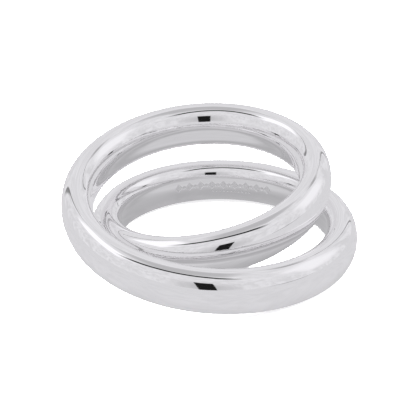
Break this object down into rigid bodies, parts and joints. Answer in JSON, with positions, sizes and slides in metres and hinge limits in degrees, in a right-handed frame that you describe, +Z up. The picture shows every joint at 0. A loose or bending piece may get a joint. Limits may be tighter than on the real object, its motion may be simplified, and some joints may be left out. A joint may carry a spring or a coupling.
{
  "type": "finger ring",
  "caption": "Polished silver finger ring made of one rounded band wound twice round the finger as a closed coil, one turn inside the other at the front and open like jaws at the back.",
  "frame": {"origin": "Middle of the ring's footprint, on the plane it lies on.", "axes": "+Z up from the plane it lies on at rest. The two turns cross at the front, toward -Y, one inside the other, and open at the back. Azimuth 0 looks along +Y."},
  "size_m": [0.027, 0.0276, 0.0107],
  "materials": {
    "band": "mirror-polished sterling silver",
    "solder": "mirror-polished silver solder"
  },
  "bodies": {
    "root": {"upper_loop": "band", "lower_loop": "band", "outer_seam_solder": "solder", "inner_seam_solder": "solder"}
  },
  "joints": []
}
